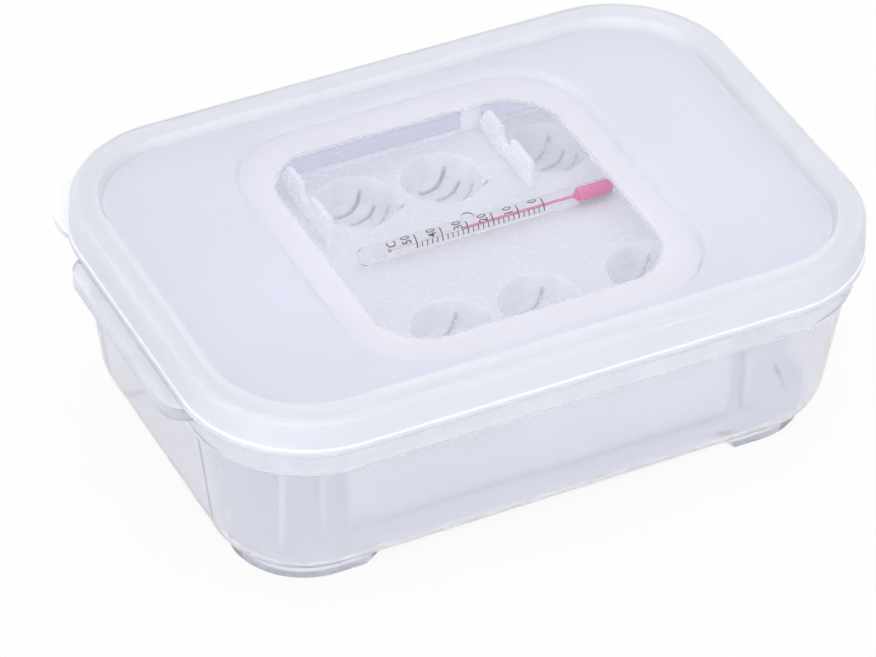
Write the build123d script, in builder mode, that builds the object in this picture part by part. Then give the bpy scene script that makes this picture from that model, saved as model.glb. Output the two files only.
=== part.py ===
from build123d import *
from math import atan, cos, degrees, radians, sin, tan
import os

# Reptile hatching box: a moulded box with corner feet, a push-on lid with a clear window,
# a loose egg tray that stands on the box floor, and a glass thermometer lying on the tray.
# Millimetres. +X along the box, +Y to the back, +Z up. The origin is on the ground, under the centre.

os.makedirs("parts", exist_ok=True)

# Overall size
overall_length = 165.0
overall_width = 110.0
overall_height = 52.0

# Lid
ledge_reach = 3.0
lid_length = overall_length - 2 * ledge_reach
lid_width = overall_width
lid_corner = 28.0
lid_wall = 1.2
skirt_height = 9.0
skirt_lean = 0.6
skirt_bead = 0.3
skirt_bead_height = 1.8
lid_edge_round = 1.4
rim_width = 6.6
panel_drop = 2.4
panel_slope = 25.0
window_length = 84.0
window_width = 87.0
window_corner = 18.6
window_drop = 1.5
window_slope = 35.0
pane_length = 69.0
pane_width = 70.0
pane_corner = 13.0
pane_drop = 0.25
plug_depth = 3.6
plug_wall = 1.2
tab_thick = 1.6
tab_reach = 3.8
tab_half_angle = 25.0
tab_direction = 141.0
gate_radius = 1.5
gate_depth = 0.3

# Box
box_wall = 1.2
foot_height = 2.4
foot_width = 3.4
foot_inset = 3.6
foot_reach_x = 42.0
foot_reach_y = 24.0
foot_ramp = 2.8
band_height = 6.5
band_step = 1.1
wall_draft = 7.6
floor_round = 8.0
ledge_length = 56.0
ledge_corner = 6.0
ledge_thick = 3.3

# Egg tray, standing close to the left wall as photographed
tray_wall = 1.0
tray_headroom = 7.7
tray_corner_less = 15.8
tray_bead = 1.2
tray_bead_height = 0.6
cup_radius = 9.2
cup_web = 2.4
cup_end_margin = 3.4
cup_side_margin = 4.8
cup_floor_radius = 5.4
cup_depth = 6.0
cup_bevel = 1.4
vent_count = 4
vent_width = 0.9
vent_longest = 8.8
vent_shortening = 1.3
vent_first_x = 0.5
vent_first_y = 4.2
vent_pitch = 4.0
vent_path = -57.0
vent_curve = 10.0
vent_direction = -70.0
leg_wall = 1.2
leg_pad = 0.7
leg_reach = 5.2
leg_inset = 1.5
leg_end_gap = 3.4
leg_toe = 1.2
slot_wide = 7.6
slot_narrow = 4.2
slot_post = 1.9
rib_wall = 1.2
rib_length = 24.0
rib_spacing = 48.8
rib_notch_radius = 2.7
rib_notch_depth = 3.6
rib_notch_set = 13.5
rib_corner_back = 3.0
rib_corner_down = 4.5
rib_tab_width = 5.0
rib_tab_lap = 0.5

# Thermometer
glass_length = 62.0
glass_radius = 2.0
glass_end_round = 1.5
bulb_glass = 0.35
bulb_length = 8.6
neck_length = 1.4
bore_radius = 0.3
bore_end = 7.0
column_length = 27.0
thermometer_x = 6.6
thermometer_y = 3.2

# Clearances
slip_gap = 0.4
seat_gap = 0.1
lie_gap = 0.2
under_lid_gap = 0.7
fill_gap = 0.03
tray_left_gap = 0.6
tray_right_gap = 10.0
tray_side_gap = 13.3

# Heights and outlines worked out from the sizes above
skirt_bottom = overall_height - skirt_height
skirt_draft = degrees(atan((skirt_lean - skirt_bead) / skirt_height))
panel_top = overall_height - panel_drop
panel_under = panel_top - lid_wall
window_top = panel_top - window_drop
window_under = window_top - lid_wall
rim_under = overall_height - lid_wall
panel_length = lid_length - 2 * rim_width
panel_width = lid_width - 2 * rim_width
panel_corner = lid_corner - rim_width

band_inset = lid_wall + skirt_lean + 0.1
band_bottom = skirt_bottom - band_height
lip_inset = skirt_lean + lid_wall + slip_gap
lip_top = rim_under - slip_gap
wall_inset = band_inset + band_step
wall_lean = (band_bottom - foot_height) * tan(radians(wall_draft))
foot_end_slope = degrees(atan(foot_ramp / foot_height))
foot_root = foot_height + floor_round / 2
floor_top = foot_height + box_wall
inner_inset = wall_inset + box_wall
plug_inset = inner_inset + slip_gap

tray_x = (tray_left_gap - tray_right_gap) / 2
tray_length = lid_length - 2 * inner_inset - tray_left_gap - tray_right_gap
tray_depth = lid_width - 2 * inner_inset - 2 * tray_side_gap
tray_corner = lid_corner - inner_inset - tray_corner_less
tray_top = window_under - tray_headroom
cup_pitch = 2 * cup_radius + cup_web
end_column = tray_length / 2 - cup_end_margin - cup_radius
half_columns = [cup_pitch / 2, end_column - cup_pitch, end_column]
row_y = tray_depth / 2 - cup_side_margin - cup_radius
plate_under = tray_top - tray_wall
leg_foot = floor_top + seat_gap
leg_length = lid_length - 2 * lid_corner + 2 * leg_reach
leg_y = tray_depth / 2 - leg_inset - leg_wall / 2
rib_x = half_columns[1] - cup_radius - rib_wall
rib_top = window_under - under_lid_gap
rib_height = rib_top - plate_under
rib_back = tray_depth / 2 - rib_wall
thermometer_z = tray_top + glass_radius + lie_gap
bulb_radius = glass_radius - bulb_glass


def around(inset):
    """Length, width and corner of the lid's lower outline, drawn in by an inset."""
    return lid_length - 2 * inset, lid_width - 2 * inset, lid_corner - inset


# Inside of the box: the outside drawn in by an even wall, from the floor up to the mouth
with BuildPart() as box_inside:
    with BuildSketch(Plane.XY.offset(band_bottom)):
        RectangleRounded(*around(inner_inset))
    extrude(amount=-(band_bottom - floor_top), taper=wall_draft)
    fillet(box_inside.edges().group_by(Axis.Z)[0], radius=floor_round - box_wall)
    with BuildSketch(Plane.XY.offset(band_bottom)):
        RectangleRounded(*around(inner_inset))
    extrude(amount=lip_top - band_bottom)

# Four feet, each running round a corner of the box with its ends sloped up to the floor
with BuildPart() as feet:
    with BuildSketch():
        foot_length, foot_width_out, foot_corner = around(wall_inset + wall_lean + foot_inset)
        RectangleRounded(foot_length, foot_width_out, foot_corner)
        RectangleRounded(
            foot_length - 2 * foot_width,
            foot_width_out - 2 * foot_width,
            foot_corner - foot_width,
            mode=Mode.SUBTRACT,
        )
    extrude(amount=foot_root)
    with BuildSketch():
        Rectangle(2 * (foot_reach_x + foot_ramp), overall_width)
        Rectangle(overall_length, 2 * (foot_reach_y + foot_ramp))
    extrude(amount=foot_root, taper=foot_end_slope, mode=Mode.SUBTRACT)

# Box: tapered walls on a rounded floor, a thicker band and a plain lip that the lid slips over
with BuildPart() as box:
    with BuildSketch(Plane.XY.offset(band_bottom)):
        RectangleRounded(*around(wall_inset))
    extrude(amount=-(band_bottom - foot_height), taper=wall_draft)
    fillet(box.edges().group_by(Axis.Z)[0], radius=floor_round)
    with BuildSketch(Plane.XY.offset(band_bottom)):
        RectangleRounded(*around(band_inset))
    extrude(amount=band_height)
    with BuildSketch(Plane.XY.offset(skirt_bottom)):
        RectangleRounded(*around(lip_inset))
    extrude(amount=lip_top - skirt_bottom)
    # Grip ledges on both short sides, just below the lid
    with BuildSketch(Plane.XY.offset(skirt_bottom - slip_gap)):
        RectangleRounded(overall_length, ledge_length, ledge_corner)
    extrude(amount=-ledge_thick)
    add(feet.part)
    add(box_inside.part, mode=Mode.SUBTRACT)
box.part.label = "box"
export_step(box.part, "parts/box.step")

# Lid: raised hollow rim, dished panel, sunk window with a thinner clear pane, corner pull tab
with BuildPart() as lid:
    # A low bead runs round the foot of the skirt
    with BuildSketch(Plane.XY.offset(skirt_bottom)):
        RectangleRounded(*around(0))
    extrude(amount=skirt_bead_height)
    chamfer(lid.edges().group_by(Axis.Z)[-1], length=skirt_bead / 2)
    with BuildSketch(Plane.XY.offset(skirt_bottom)):
        RectangleRounded(*around(skirt_bead))
    extrude(amount=skirt_height, taper=skirt_draft)
    fillet(lid.edges().group_by(Axis.Z)[-1], radius=lid_edge_round)
    with BuildSketch(Plane.XY.offset(overall_height)):
        RectangleRounded(panel_length, panel_width, panel_corner)
    extrude(amount=-panel_drop, taper=panel_slope, mode=Mode.SUBTRACT)
    # Pull tab at the back left corner, at the foot of the skirt
    with BuildSketch(Plane.XY.offset(skirt_bottom)):
        chord_reach = lid_corner * cos(radians(tab_half_angle))
        half_chord = lid_corner * sin(radians(tab_half_angle))
        rise = lid_corner + tab_reach - chord_reach
        tab_radius = (half_chord**2 + rise**2) / (2 * rise)
        tab_centre = lid_corner + tab_reach - tab_radius
        with Locations((lid_corner - lid_length / 2, lid_width / 2 - lid_corner)):
            with PolarLocations(tab_centre, 1, start_angle=tab_direction):
                Circle(tab_radius)
    extrude(amount=tab_thick)
    # Hollow under the panel, then the channel that the box lip runs up into
    with BuildSketch(Plane.XY.offset(skirt_bottom)):
        RectangleRounded(*around(skirt_bead + lid_wall))
    extrude(amount=panel_under - skirt_bottom, taper=skirt_draft, mode=Mode.SUBTRACT)
    with BuildSketch(Plane.XY.offset(panel_under)):
        RectangleRounded(*around(lid_wall + skirt_lean))
        RectangleRounded(*around(plug_inset), mode=Mode.SUBTRACT)
    extrude(amount=rim_under - panel_under, mode=Mode.SUBTRACT)
    # Sealing plug inside the box lip
    with BuildSketch(Plane.XY.offset(panel_under)):
        RectangleRounded(*around(plug_inset))
        RectangleRounded(*around(plug_inset + plug_wall), mode=Mode.SUBTRACT)
    extrude(amount=-plug_depth)
    # Sunk window: its underside stands down by the same drop
    with BuildSketch(Plane.XY.offset(panel_under)):
        RectangleRounded(window_length + lid_wall, window_width + lid_wall, window_corner + lid_wall / 2)
    extrude(amount=-window_drop, taper=window_slope)
    with BuildSketch(Plane.XY.offset(panel_top)):
        RectangleRounded(window_length, window_width, window_corner)
    extrude(amount=-window_drop, taper=window_slope, mode=Mode.SUBTRACT)
    with BuildSketch(Plane.XY.offset(window_top)):
        RectangleRounded(pane_length, pane_width, pane_corner)
    extrude(amount=-pane_drop, mode=Mode.SUBTRACT)
    # Moulding gate mark in the middle of the pane, underneath
    with BuildSketch(Plane.XY.offset(window_under)):
        Circle(gate_radius)
    extrude(amount=gate_depth, mode=Mode.SUBTRACT)
lid.part.label = "lid"
export_step(lid.part, "parts/lid.step")

# Egg tray: a plate with two rows of vented cups, slotted legs and tall notched ribs
cup_spots = []
for column in half_columns:
    for side in (-1, 1):
        for row in (-1, 1):
            cup_spots.append((side * column, row * row_y))

# Four gently curved slots, one beyond the other and each shorter than the last
vent_first = Vector(vent_first_x, vent_first_y)
with BuildSketch() as vents:
    for step in range(vent_count):
        vent_span = degrees((vent_longest - step * vent_shortening) / vent_curve)
        vent_start = vent_direction - vent_span / 2
        vent_middle = vent_first + Vector(step * vent_pitch, 0).rotate(Axis.Z, vent_path)
        vent_centre = vent_middle - Vector(vent_curve, 0).rotate(Axis.Z, vent_direction)
        with BuildLine():
            far_side = CenterArc(vent_centre, vent_curve + vent_width / 2, vent_start, vent_span)
            near_side = CenterArc(vent_centre, vent_curve - vent_width / 2, vent_start, vent_span)
            Line(far_side @ 0, near_side @ 0)
            Line(far_side @ 1, near_side @ 1)
        make_face()

with BuildPart() as cup_shell:
    with BuildSketch(Plane.XY.offset(tray_top)):
        Circle(cup_radius + tray_wall)
    with BuildSketch(Plane.XY.offset(plate_under - cup_depth)):
        Circle(cup_floor_radius + tray_wall)
    loft()
    chamfer(cup_shell.edges().group_by(Axis.Z)[0], length=cup_bevel)

with BuildPart() as cup_hollow:
    with BuildSketch(Plane.XY.offset(tray_top)):
        Circle(cup_radius)
    with BuildSketch(Plane.XY.offset(tray_top - cup_depth)):
        Circle(cup_floor_radius)
    loft()
    chamfer(cup_hollow.edges().group_by(Axis.Z)[0], length=cup_bevel)

# Rib for the back edge of the tray: a wall with a cut corner and a notch, and a tab across its end
with BuildPart() as rib:
    with BuildSketch(Plane.YZ):
        with BuildLine():
            Polyline(
                (rib_back, plate_under),
                (rib_back, rib_top - rib_corner_down),
                (rib_back - rib_corner_back, rib_top),
                (rib_back - rib_length, rib_top),
                (rib_back - rib_length, plate_under),
                close=True,
            )
        make_face()
        with Locations((tray_depth / 2 - rib_notch_set, rib_top - rib_notch_depth + rib_notch_radius)):
            Circle(rib_notch_radius, mode=Mode.SUBTRACT)
            Rectangle(
                2 * rib_notch_radius,
                rib_notch_depth,
                align=(Align.CENTER, Align.MIN),
                mode=Mode.SUBTRACT,
            )
    extrude(amount=rib_wall)
    with BuildSketch(Plane.XY.offset(plate_under)):
        with Locations((rib_tab_lap, tray_depth / 2)):
            Rectangle(rib_tab_width, rib_wall, align=(Align.MAX, Align.MAX))
    extrude(amount=rib_height)

with BuildPart() as egg_tray:
    with BuildSketch(Plane.XY.offset(tray_top)):
        RectangleRounded(tray_length, tray_depth, tray_corner)
    extrude(amount=-tray_wall)
    with BuildSketch(Plane.XY.offset(tray_top)):
        RectangleRounded(tray_length, tray_depth, tray_corner)
        RectangleRounded(
            tray_length - 2 * tray_bead,
            tray_depth - 2 * tray_bead,
            tray_corner - tray_bead,
            mode=Mode.SUBTRACT,
        )
    extrude(amount=tray_bead_height)
    with Locations(*cup_spots):
        add(cup_shell.part)
    with Locations(*cup_spots):
        add(cup_hollow.part, mode=Mode.SUBTRACT)
    # The vent slots go through the side and floor of every cup
    with BuildSketch(Plane.XY.offset(tray_top)):
        with Locations(*cup_spots):
            add(vents.sketch)
    extrude(amount=-(cup_depth + 2 * tray_wall), mode=Mode.SUBTRACT)
    # Legs under both long sides, one the other turned half way round
    with BuildSketch(Plane.XY.offset(plate_under)):
        with PolarLocations(0, 2):
            with Locations((0, -leg_y)):
                Rectangle(leg_length, leg_wall)
            with Locations((leg_length / 4, -leg_y - leg_pad / 2)):
                Rectangle(leg_length / 2, leg_wall + leg_pad)
            for start, width in (
                (slot_post, slot_wide),
                (slot_post + slot_wide + slot_post, slot_narrow),
                (leg_length - slot_post - leg_end_gap, leg_end_gap),
            ):
                with Locations((start + width / 2 - leg_length / 2, -leg_y)):
                    Rectangle(width, 4 * leg_wall, mode=Mode.SUBTRACT)
    extrude(amount=leg_foot - plate_under)
    # The toes at the outer ends are cut back to clear the rounded floor of the box
    toes = egg_tray.edges().group_by(Axis.Z)[0].filter_by(Axis.Y).group_by(Axis.X)
    chamfer(toes[0] + toes[-1], length=leg_toe)
    # Two ribs at the back, either side of the middle cups
    with Locations((rib_x, 0), (rib_x - rib_spacing, 0)):
        add(rib.part)
egg_tray.part.position = (tray_x, 0, 0)
egg_tray.part.label = "egg_tray"
export_step(egg_tray.part, "parts/egg_tray.step")

# Thermometer: one glass rod along X with a hollow bulb and bore, and the red spirit inside it
bulb_start = glass_length / 2 - bulb_glass - bulb_length


def spirit_profile(gap, reach):
    """Half outline of bulb, neck and bore, drawn in by a gap, up to a reach from the bulb."""
    return Polyline(
        (glass_length / 2 - bulb_glass - gap, 0),
        (glass_length / 2 - bulb_glass - gap, bulb_radius - gap),
        (bulb_start, bulb_radius - gap),
        (bulb_start - neck_length, bore_radius - gap),
        (bulb_start - neck_length - reach, bore_radius - gap),
        (bulb_start - neck_length - reach, 0),
        close=True,
    )


with BuildPart() as thermometer_spirit:
    with BuildSketch():
        with BuildLine():
            spirit_profile(fill_gap, column_length)
        make_face()
    revolve(axis=Axis.X)
    fillet(thermometer_spirit.edges().sort_by(Axis.X)[-1], radius=glass_end_round - bulb_glass)

with BuildPart() as glass_hollow:
    with BuildSketch():
        with BuildLine():
            spirit_profile(0, glass_length - bore_end - neck_length - bulb_length - bulb_glass)
        make_face()
    revolve(axis=Axis.X)
    fillet(glass_hollow.edges().sort_by(Axis.X)[-1], radius=glass_end_round - bulb_glass)

with BuildPart() as thermometer_tube:
    Cylinder(glass_radius, glass_length, rotation=(0, 90, 0))
    fillet(thermometer_tube.edges().filter_by(GeomType.CIRCLE), radius=glass_end_round)
    add(glass_hollow.part, mode=Mode.SUBTRACT)

thermometer_spirit.part.position = (thermometer_x, thermometer_y, thermometer_z)
thermometer_spirit.part.label = "thermometer_spirit"
export_step(thermometer_spirit.part, "parts/thermometer_spirit.step")
thermometer_tube.part.position = (thermometer_x, thermometer_y, thermometer_z)
thermometer_tube.part.label = "thermometer_tube"
export_step(thermometer_tube.part, "parts/thermometer_tube.step")
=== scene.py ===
from math import cos, pi, radians, sin

import bmesh
import bpy
from mathutils import Matrix, Vector


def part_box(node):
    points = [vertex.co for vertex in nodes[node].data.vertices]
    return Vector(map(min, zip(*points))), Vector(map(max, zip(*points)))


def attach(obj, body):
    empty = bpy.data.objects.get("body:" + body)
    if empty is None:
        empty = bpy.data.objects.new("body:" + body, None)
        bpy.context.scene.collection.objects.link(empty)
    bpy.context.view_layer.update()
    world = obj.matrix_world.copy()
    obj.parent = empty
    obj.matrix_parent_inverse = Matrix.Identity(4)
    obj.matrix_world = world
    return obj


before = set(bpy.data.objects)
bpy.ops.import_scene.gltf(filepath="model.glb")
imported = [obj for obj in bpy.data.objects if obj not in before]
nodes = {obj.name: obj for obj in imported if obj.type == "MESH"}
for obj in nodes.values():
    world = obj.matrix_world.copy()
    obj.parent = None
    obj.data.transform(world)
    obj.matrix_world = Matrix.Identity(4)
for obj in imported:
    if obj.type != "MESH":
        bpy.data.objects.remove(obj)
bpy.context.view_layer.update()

MM = 0.001

# Rounded rectangles of the lid in plan, about the origin: half length, half width, corner
PANE = (34.0 * MM, 34.5 * MM, 12.5 * MM)
WINDOW_FRAME = (41.6 * MM, 43.1 * MM, 18.2 * MM)
RIM_EDGE = (72.3 * MM, 47.8 * MM, 20.8 * MM)
PANEL = (72.9 * MM, 48.4 * MM, 21.4 * MM)

# Heights of the two painted highlight lines round the object
BEAD_TOP = 44.7 * MM
BAND_STEP = 36.6 * MM
LINE_WIDTH = 0.5 * MM

# How much of the plastic is see-through
LID_CLEAR = 0.50
BOX_CLEAR = 0.88

# Cool white of the soft lamps and of the room's own light
COOL_WHITE = (0.945, 0.96, 1.0)


# Camera: the photograph's angle, from above the left front corner
def place_camera():
    turn, tilt, roll = radians(-27.749), radians(39.308), radians(1.818)
    distance, focal_pixels, photo_pixels, sensor = 1.06078, 4866.2, 876, 36
    back = Vector((sin(turn) * cos(tilt), -cos(turn) * cos(tilt), sin(tilt)))
    right = (-back).cross(Vector((0, 0, 1))).normalized()
    up = right.cross(-back)
    aim = Vector((0, 0, 26 * MM)) + right * (-5.5914 * MM) + up * (-7.6061 * MM)
    right, up = right * cos(roll) + up * sin(roll), up * cos(roll) - right * sin(roll)
    camera = bpy.data.objects.new("camera", bpy.data.cameras.new("camera"))
    camera.data.sensor_width = sensor
    camera.data.lens = focal_pixels * sensor / photo_pixels
    camera.data.clip_start = 0.05
    camera.data.clip_end = 50
    facing = Matrix((right, up, back)).transposed().to_4x4()
    camera.matrix_world = Matrix.Translation(aim + back * distance) @ facing
    bpy.context.collection.objects.link(camera)
    bpy.context.scene.camera = camera


# Building blocks of the materials
def new_material(name):
    material = bpy.data.materials.new(name)
    material.use_nodes = True
    tree = material.node_tree
    return material, tree, tree.nodes["Principled BSDF"]


def add(tree, kind, **values):
    node = tree.nodes.new(kind)
    for name, value in values.items():
        setattr(node, name, value)
    return node


def calc(tree, operation, a, b=None, c=None):
    node = add(tree, "ShaderNodeMath", operation=operation)
    for socket, value in zip(node.inputs, (a, b, c)):
        if value is None:
            continue
        if isinstance(value, (int, float)):
            socket.default_value = value
        else:
            tree.links.new(value, socket)
    return node.outputs[0]


def noise(tree, scale, detail=3.0):
    place = add(tree, "ShaderNodeTexCoord")
    made = add(tree, "ShaderNodeTexNoise")
    made.inputs["Scale"].default_value = scale
    made.inputs["Detail"].default_value = detail
    made.inputs["Roughness"].default_value = 0.5
    tree.links.new(place.outputs["Object"], made.inputs["Vector"])
    return made.outputs["Fac"]


def spread(tree, value, low, high, to_low=0.0, to_high=1.0):
    node = add(tree, "ShaderNodeMapRange")
    node.inputs["From Min"].default_value = low
    node.inputs["From Max"].default_value = high
    node.inputs["To Min"].default_value = to_low
    node.inputs["To Max"].default_value = to_high
    tree.links.new(value, node.inputs["Value"])
    return node.outputs["Result"]


def blend_colour(tree, factor, first, second):
    node = add(tree, "ShaderNodeMix", data_type="RGBA")
    tree.links.new(factor, node.inputs["Factor"])
    node.inputs["A"].default_value = (*first, 1)
    node.inputs["B"].default_value = (*second, 1)
    return node.outputs["Result"]


def cloudy_colour(tree, shader, scale, detail, low, high, first, second):
    """Base colour that drifts between two near shades."""
    cloud = spread(tree, noise(tree, scale, detail), low, high)
    tree.links.new(blend_colour(tree, cloud, first, second), shader.inputs["Base Color"])


def bump(tree, height, distance, strength):
    node = add(tree, "ShaderNodeBump")
    node.inputs["Distance"].default_value = distance
    node.inputs["Strength"].default_value = strength
    tree.links.new(height, node.inputs["Height"])
    return node.outputs["Normal"]


def position(tree):
    """The three Object coordinates."""
    place = add(tree, "ShaderNodeTexCoord")
    parts = add(tree, "ShaderNodeSeparateXYZ")
    tree.links.new(place.outputs["Object"], parts.inputs[0])
    return parts.outputs[0], parts.outputs[1], parts.outputs[2]


def past_straight(tree, coordinate, straight):
    """How far a point lies past the straight run of a side, squared, on either side of the origin."""
    past = calc(tree, "SUBTRACT", calc(tree, "ABSOLUTE", coordinate), straight)
    return calc(tree, "POWER", calc(tree, "MAXIMUM", past, 0.0), 2.0)


def rounded_mask(tree, half_x, half_y, corner, soft):
    """1 inside a rounded rectangle about the origin in plan, 0 outside, over a soft edge."""
    x, y, z = position(tree)
    along = past_straight(tree, x, half_x - corner)
    across = past_straight(tree, y, half_y - corner)
    reach = calc(tree, "SQRT", calc(tree, "ADD", along, across))
    return spread(tree, reach, corner + soft / 2, corner - soft / 2)


def rounded_line(tree, half_x, half_y, corner, width):
    """1 on a soft line along a rounded rectangle about the origin in plan, 0 off it."""
    outer = rounded_mask(tree, half_x + width / 2, half_y + width / 2, corner + width / 2, width)
    inner = rounded_mask(tree, half_x - width / 2, half_y - width / 2, corner - width / 2, width)
    return calc(tree, "SUBTRACT", outer, inner)


def level_line(tree, height):
    """1 on a soft line at one height, 0 off it."""
    x, y, z = position(tree)
    away = calc(tree, "ABSOLUTE", calc(tree, "SUBTRACT", z, height))
    return spread(tree, away, 0.0, LINE_WIDTH, 1.0, 0.0)


def tint(tree, shader, mask, colour):
    """Turns the base colour to another one where the mask is 1."""
    body = shader.inputs["Base Color"].links[0].from_socket
    mixed = add(tree, "ShaderNodeMix", data_type="RGBA")
    tree.links.new(mask, mixed.inputs["Factor"])
    tree.links.new(body, mixed.inputs["A"])
    mixed.inputs["B"].default_value = (*colour, 1)
    tree.links.new(mixed.outputs["Result"], shader.inputs["Base Color"])


def light_through(tree, shader, share):
    """Lets a share of the lamp light straight through, as thin pale plastic and glass do."""
    path = add(tree, "ShaderNodeLightPath")
    left = calc(tree, "MULTIPLY_ADD", path.outputs["Is Shadow Ray"], -share, 1.0)
    tree.links.new(left, shader.inputs["Alpha"])


# Plastics, glass, spirit and ink
def frosted(name, pale, shade, rough_low, rough_high, clear, light_share=0.9):
    """Milky moulded polypropylene: part see-through, part scattering, with a faint cloud in it."""
    material, tree, shader = new_material(name)
    cloudy_colour(tree, shader, 45.0, 3.0, 0.3, 0.7, pale, shade)
    rough = spread(tree, noise(tree, 900.0, 3.0), 0.3, 0.7, rough_low, rough_high)
    tree.links.new(rough, shader.inputs["Roughness"])
    shader.inputs["Transmission Weight"].default_value = clear
    shader.inputs["IOR"].default_value = 1.49
    light_through(tree, shader, light_share)
    shader.inputs["Subsurface Weight"].default_value = 1.0
    shader.inputs["Subsurface Radius"].default_value = (1.0, 1.0, 1.0)
    shader.inputs["Subsurface Scale"].default_value = 4 * MM
    grain = bump(tree, noise(tree, 300.0, 2.0), 0.01 * MM, 0.12)
    tree.links.new(grain, shader.inputs["Normal"])
    return material


def lid_plastic():
    """Lid: lilac white in the window frame and the rim, polished clear in the pane, with painted highlight
    lines at the rim's inner edge and the skirt's bead.
    """
    pale, shade = (0.85, 0.87, 0.975), (0.83, 0.85, 0.965)
    material = frosted("lid_plastic", pale, shade, 0.30, 0.40, LID_CLEAR)
    tree = material.node_tree
    shader = tree.nodes["Principled BSDF"]
    pane = rounded_mask(tree, *PANE, 0.8 * MM)
    window_frame = rounded_mask(tree, *WINDOW_FRAME, 1.2 * MM)
    panel = rounded_mask(tree, *PANEL, 1.0 * MM)
    rim = calc(tree, "SUBTRACT", 1.0, panel)
    # Masks of the painted highlight lines: along the rim's inner edge and at the top of the skirt's bead
    rim_highlight = rounded_line(tree, *RIM_EDGE, 1.6 * MM)
    skirt_highlight = level_line(tree, BEAD_TOP)

    # The pane is smooth, with hardly any haze and no grain
    grained = shader.inputs["Roughness"].links[0].from_socket
    haze = spread(tree, noise(tree, 60.0, 2.0), 0.35, 0.8, 0.0, 0.008)
    around = calc(tree, "MULTIPLY", grained, calc(tree, "SUBTRACT", 1.0, pane))
    rough = calc(tree, "ADD", around, calc(tree, "MULTIPLY", haze, pane))
    tree.links.new(rough, shader.inputs["Roughness"])
    grain = shader.inputs["Normal"].links[0].from_node
    tree.links.new(spread(tree, pane, 0.0, 1.0, 0.12, 0.0), grain.inputs["Strength"])

    # The pane is fully see-through, and the painted highlight line at the skirt's bead isn't at all
    clear = spread(tree, pane, 0.0, 1.0, LID_CLEAR, 1.0)
    clear = calc(tree, "MULTIPLY_ADD", skirt_highlight, -LID_CLEAR, clear)
    tree.links.new(clear, shader.inputs["Transmission Weight"])

    tint(tree, shader, window_frame, (0.905, 0.89, 0.985))
    tint(tree, shader, pane, (0.94, 0.94, 1.0))
    tint(tree, shader, rim, (0.925, 0.93, 1.0))
    # Painted highlight: whiter lines along the rim's inner edge and at the skirt's bead
    tint(tree, shader, calc(tree, "MAXIMUM", rim_highlight, skirt_highlight), (0.95, 0.96, 1.0))
    return material


def box_plastic():
    """Box: milkier in the thick band and the grip ledges, with a painted highlight line at the band's foot.
    """
    pale, shade = (0.895, 0.895, 0.945), (0.875, 0.875, 0.93)
    material = frosted("box_plastic", pale, shade, 0.06, 0.09, BOX_CLEAR, 0.8)
    tree = material.node_tree
    shader = tree.nodes["Principled BSDF"]
    x, y, z = position(tree)
    band = spread(tree, z, 36.3 * MM, 36.7 * MM, 0.0, 0.16)
    ledge = spread(tree, calc(tree, "ABSOLUTE", x), 77.4 * MM, 78.2 * MM, 0.0, 0.08)
    # Painted highlight: a whiter, less see-through line at the band's foot
    band_highlight = level_line(tree, BAND_STEP)
    clear = calc(tree, "SUBTRACT", calc(tree, "SUBTRACT", BOX_CLEAR, band), ledge)
    clear = calc(tree, "MULTIPLY_ADD", band_highlight, -0.6, clear)
    tree.links.new(clear, shader.inputs["Transmission Weight"])
    tint(tree, shader, band_highlight, (0.97, 0.975, 1.0))

    # Painted shade: the back wall below the band and the floor between the feet and the walls are tinted
    # darker, for the shade behind and under the tray
    behind = spread(tree, y, 38 * MM, 44 * MM)
    below_band = spread(tree, z, 36 * MM, 34 * MM)
    back_wall_shade = calc(tree, "MULTIPLY", behind, below_band)
    over_feet = spread(tree, z, 2.6 * MM, 3.2 * MM)
    below_walls = spread(tree, z, 4.8 * MM, 3.6 * MM)
    floor_shade = calc(tree, "MULTIPLY", over_feet, below_walls)
    tint(tree, shader, calc(tree, "MAXIMUM", back_wall_shade, floor_shade), (0.69, 0.715, 0.82))
    # Painted shade: the bottom of the box, below about 2.2 to 2.5 mm where it meets the floor, is tinted
    # darker
    tint(tree, shader, spread(tree, z, 2.5 * MM, 2.2 * MM), (0.83, 0.835, 0.875))
    return material


def tray_plastic():
    return frosted("tray_plastic", (0.965, 0.97, 0.985), (0.95, 0.955, 0.975), 0.26, 0.28, 0.0, 0.6)


def glass():
    material, tree, shader = new_material("thermometer_glass")
    cloudy_colour(tree, shader, 120.0, 2.0, 0.3, 0.7, (1.0, 0.99, 0.985), (0.97, 0.96, 0.955))
    rough = spread(tree, noise(tree, 700.0, 3.0), 0.4, 0.8, 0.0, 0.03)
    tree.links.new(rough, shader.inputs["Roughness"])
    shader.inputs["Transmission Weight"].default_value = 1.0
    shader.inputs["IOR"].default_value = 1.25
    light_through(tree, shader, 0.95)
    return material


def spirit():
    material, tree, shader = new_material("red_spirit")
    cloudy_colour(tree, shader, 260.0, 2.0, 0.3, 0.7, (0.98, 0.24, 0.49), (0.92, 0.18, 0.42))
    shader.inputs["Roughness"].default_value = 0.12
    shader.inputs["IOR"].default_value = 1.36
    return material


def ink():
    material, tree, shader = new_material("scale_ink")
    cloudy_colour(tree, shader, 1500.0, 3.0, 0.35, 0.75, (0.012, 0.012, 0.014), (0.05, 0.05, 0.055))
    shader.inputs["Roughness"].default_value = 0.45
    return material


def dress(node, material):
    mesh = nodes[node].data
    mesh.materials.clear()
    mesh.materials.append(material)


# Thermometer scale: numbers and graduations printed round the upper side of the glass
tube_low, tube_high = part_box("thermometer_tube")
tube_y = (tube_low.y + tube_high.y) / 2
tube_z = (tube_low.z + tube_high.z) / 2
tube_radius = (tube_high.z - tube_low.z) / 2

INK_LIFT = 0.02 * MM
INK_THICK = 0.03 * MM
STRIP = 0.2 * MM
PRINT_REACH = 3.4 * MM

ZERO_X = 19.5 * MM
TEN_DEGREES = 6.16 * MM
TENS = 5
MARKS_PER_TEN = 5
DIGIT_SIZE = 3.1 * MM
DIGIT_SQUEEZE = 0.75
MARK_END = -3.2 * MM


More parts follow.
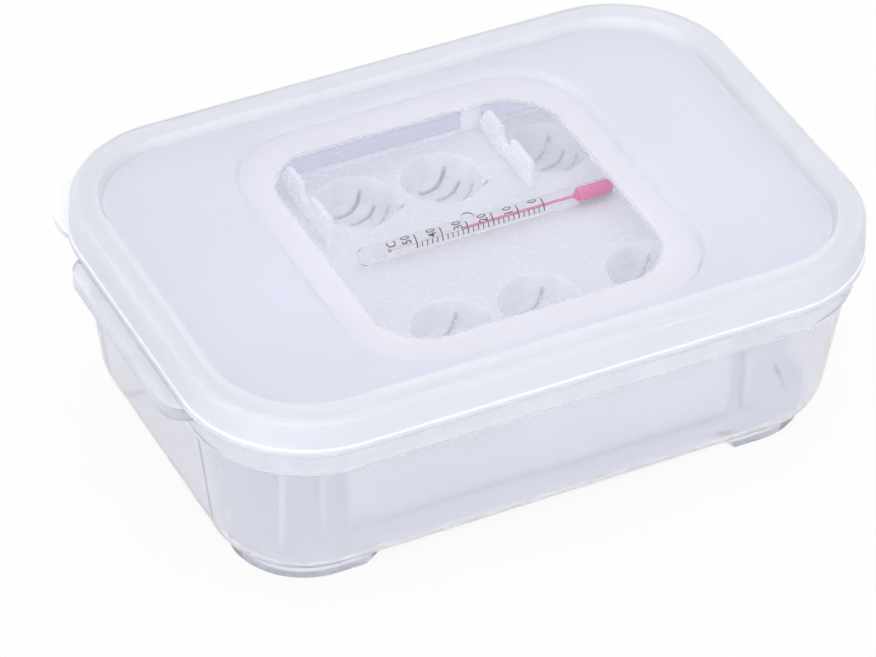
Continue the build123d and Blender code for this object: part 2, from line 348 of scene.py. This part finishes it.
def wrap(mesh_data):
    """Bends flat print onto the glass: x stays along the rod, y goes round it, z is the height above it."""
    for vert in mesh_data.verts:
        angle = vert.co.y / tube_radius
        reach = tube_radius + INK_LIFT + vert.co.z
        vert.co = Vector((vert.co.x, tube_y + sin(angle) * reach, tube_z + cos(angle) * reach))


def slice_across(mesh_data):
    """Cuts a flat print into narrow strips, so that it follows the round glass."""
    span = int(PRINT_REACH / STRIP)
    for cut in range(-span, span + 1):
        geometry = mesh_data.verts[:] + mesh_data.edges[:] + mesh_data.faces[:]
        cut_place = (0, cut * STRIP, 0)
        bmesh.ops.bisect_plane(mesh_data, geom=geometry, dist=1e-7, plane_co=cut_place, plane_no=(0, 1, 0))


def new_piece(name, mesh_data, material):
    mesh = bpy.data.meshes.new(name)
    mesh_data.to_mesh(mesh)
    mesh_data.free()
    mesh.materials.append(material)
    made = bpy.data.objects.new(name, mesh)
    bpy.context.collection.objects.link(made)
    return made


def finish_print(name, mesh_data, material):
    slice_across(mesh_data)
    wrap(mesh_data)
    bmesh.ops.remove_doubles(mesh_data, verts=mesh_data.verts, dist=1e-8)
    bmesh.ops.recalc_face_normals(mesh_data, faces=mesh_data.faces)
    made = new_piece(name, mesh_data, material)
    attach(made, "thermometer")


def letters(text, x, y):
    """Flat raised text that reads across the rod to its right edge, its top towards the tip."""
    curve = bpy.data.curves.new("print", "FONT")
    curve.body = text
    curve.size = DIGIT_SIZE
    curve.offset = 0.02 * MM
    curve.extrude = INK_THICK / 2
    curve.resolution_u = 3
    curve.align_x = "RIGHT"
    curve.align_y = "CENTER"
    holder = bpy.data.objects.new("print", curve)
    flat = bpy.data.meshes.new_from_object(holder)
    bpy.data.objects.remove(holder)
    squeeze = Matrix.Diagonal((DIGIT_SQUEEZE, 1, 1, 1))
    flat.transform(Matrix.Translation((x, y, INK_THICK / 2)) @ Matrix.Rotation(pi / 2, 4, "Z") @ squeeze)
    return flat


def print_scale(material):
    numbers = bmesh.new()
    for count in range(TENS + 1):
        beside_mark = ZERO_X - count * TEN_DEGREES - 2.1 * MM
        numbers.from_mesh(letters(str(count * 10), beside_mark, 0.5 * MM))
    past_last = ZERO_X - TENS * TEN_DEGREES - 5.6 * MM
    numbers.from_mesh(letters("\u00b0C", past_last, 0.1 * MM))
    finish_print("scale_numbers", numbers, material)
    marks = bmesh.new()
    for count in range(TENS * MARKS_PER_TEN + 1):
        x = ZERO_X - count * TEN_DEGREES / MARKS_PER_TEN
        if count % MARKS_PER_TEN == 0:
            start, width = 0.1 * MM, 0.3 * MM
        else:
            start, width = -1.9 * MM, 0.24 * MM
        place = Matrix.Translation((x, (start + MARK_END) / 2, INK_THICK / 2))
        size = Matrix.Diagonal((width, start - MARK_END, INK_THICK, 1))
        bmesh.ops.create_cube(marks, size=1, matrix=place @ size)
    finish_print("scale_marks", marks, material)


# Room: pale floor and backdrop that read white to the camera, and soft lamps
def seen_ray(tree):
    """1 where the camera sees a thing, straight or in or through another, 0 where it only lights."""
    path = add(tree, "ShaderNodeLightPath")
    other = calc(tree, "MAXIMUM", path.outputs["Is Glossy Ray"], path.outputs["Is Transmission Ray"])
    return calc(tree, "MAXIMUM", path.outputs["Is Camera Ray"], other)


def white_floor():
    material, tree, shader = new_material("studio_floor")
    shader.inputs["Base Color"].default_value = (0.86, 0.865, 0.875, 1)
    shader.inputs["Roughness"].default_value = 0.9
    glow = add(tree, "ShaderNodeEmission")
    glow.inputs["Strength"].default_value = 1.0
    mix = add(tree, "ShaderNodeMixShader")
    tree.links.new(calc(tree, "MULTIPLY", seen_ray(tree), 0.9), mix.inputs["Fac"])
    tree.links.new(shader.outputs[0], mix.inputs[1])
    tree.links.new(glow.outputs[0], mix.inputs[2])
    tree.links.new(mix.outputs[0], tree.nodes["Material Output"].inputs["Surface"])
    mesh_data = bmesh.new()
    bmesh.ops.create_grid(mesh_data, x_segments=1, y_segments=1, size=6)
    floor = new_piece("floor", mesh_data, material)
    floor.location.z = -0.2 * MM


def white_backdrop():
    world = bpy.data.worlds.new("studio")
    bpy.context.scene.world = world
    world.use_nodes = True
    tree = world.node_tree
    backdrop = tree.nodes["Background"]
    seen = seen_ray(tree)
    tree.links.new(blend_colour(tree, seen, COOL_WHITE, (1, 1, 1)), backdrop.inputs["Color"])
    tree.links.new(spread(tree, seen, 0.0, 1.0, 0.83, 1.0), backdrop.inputs["Strength"])


def lamp(name, size, power, place):
    light = bpy.data.lights.new(name, "AREA")
    light.shape = "RECTANGLE"
    light.size, light.size_y = size
    light.energy = power
    light.color = COOL_WHITE
    made = bpy.data.objects.new(name, light)
    made.location = place
    aim = Vector((0, 0, 20 * MM)) - Vector(place)
    made.rotation_euler = aim.to_track_quat("-Z", "Y").to_euler()
    bpy.context.collection.objects.link(made)


bpy.context.scene.view_settings.view_transform = "Standard"
place_camera()
dress("box", box_plastic())
dress("lid", lid_plastic())
dress("egg_tray", tray_plastic())
dress("thermometer_tube", glass())
dress("thermometer_spirit", spirit())
print_scale(ink())
white_floor()
white_backdrop()
lamp("overhead", (0.9, 0.9), 1.75, (0.1, 0.15, 0.9))
lamp("front_low", (1.2, 0.5), 4.4, (-0.25, -1.0, 0.32))
lamp("left_low", (0.8, 0.5), 2.3, (-1.0, 0.0, 0.35))
lamp("right_back", (0.6, 0.5), 1.2, (0.8, 0.7, 0.5))
